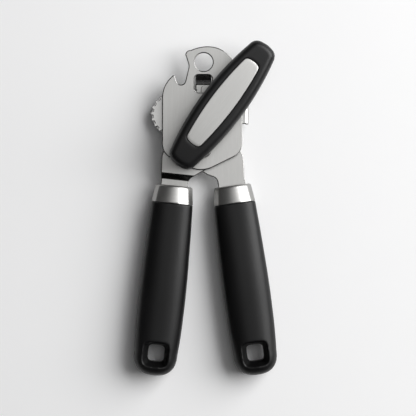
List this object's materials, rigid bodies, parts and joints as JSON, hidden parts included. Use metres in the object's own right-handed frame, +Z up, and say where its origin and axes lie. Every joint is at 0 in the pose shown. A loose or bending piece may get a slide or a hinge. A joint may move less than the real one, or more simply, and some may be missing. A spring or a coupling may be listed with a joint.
{
  "type": "manual can opener",
  "caption": "Hand-held can opener: crossing steel arms with black soft grips, a brushed head plate with bottle-opener notch, geared cutter and feed wheels, and a bow-sided turning knob.",
  "frame": {"origin": "middle of the footprint on the table the opener lies on, handles at their rest opening", "axes": "+Z up from the table towards the knob, +Y from the handles towards the head, +X to the right seen from above"},
  "size_m": [0.091, 0.2114, 0.0325],
  "materials": {
    "plate_steel": "brushed along the length",
    "arm_steel": "rolled sheet, satin",
    "rivet_steel": "turned, satin",
    "gear_steel": "stamped, satin",
    "blade_steel": "ground edge",
    "insert_steel": "fine brushed",
    "ferrule_steel": "polished satin",
    "knob_plastic": "fine matte",
    "grip_soft": "soft-touch matte"
  },
  "bodies": {
    "left_frame": {"head_plate": "plate_steel", "left_arm": "arm_steel", "pivot_rivet": "rivet_steel", "pivot_washer": "rivet_steel", "spindle_bush": "rivet_steel", "left_ferrule": "ferrule_steel", "left_grip": "grip_soft"},
    "right_handle": {"right_arm": "arm_steel", "right_ferrule": "ferrule_steel", "right_grip": "grip_soft", "cutter_axle": "rivet_steel", "cutter_washer": "rivet_steel"},
    "drive": {"drive_spindle": "gear_steel", "spindle_washer": "rivet_steel", "drive_gear": "gear_steel", "feed_wheel": "gear_steel", "spindle_nut": "gear_steel", "knob_base": "knob_plastic", "knob_shell": "knob_plastic", "knob_insert": "insert_steel", "knob_screw": "rivet_steel"},
    "cutter": {"cutter_gear": "gear_steel", "cutter_wheel": "blade_steel"}
  },
  "joints": [
    {"name": "handle_pivot", "type": "hinge", "parent": "left_frame", "child": "right_handle", "pos_m": [-0.00136, 0.03779, 0.011], "axis": [0, 0, 1], "range_deg": [-14, 30]},
    {"name": "knob_spin", "type": "hinge", "parent": "left_frame", "child": "drive", "pos_m": [0.01044, 0.06529, 0.012], "axis": [0, 0, 1], "continuous": true},
    {"name": "cutter_spin", "type": "hinge", "parent": "right_handle", "child": "cutter", "pos_m": [-0.02126, 0.06058, 0.005], "axis": [0, 0, 1], "continuous": true}
  ],
  "couplings": [
    {"joint": "cutter_spin", "follows": "knob_spin", "ratio": -1}
  ]
}
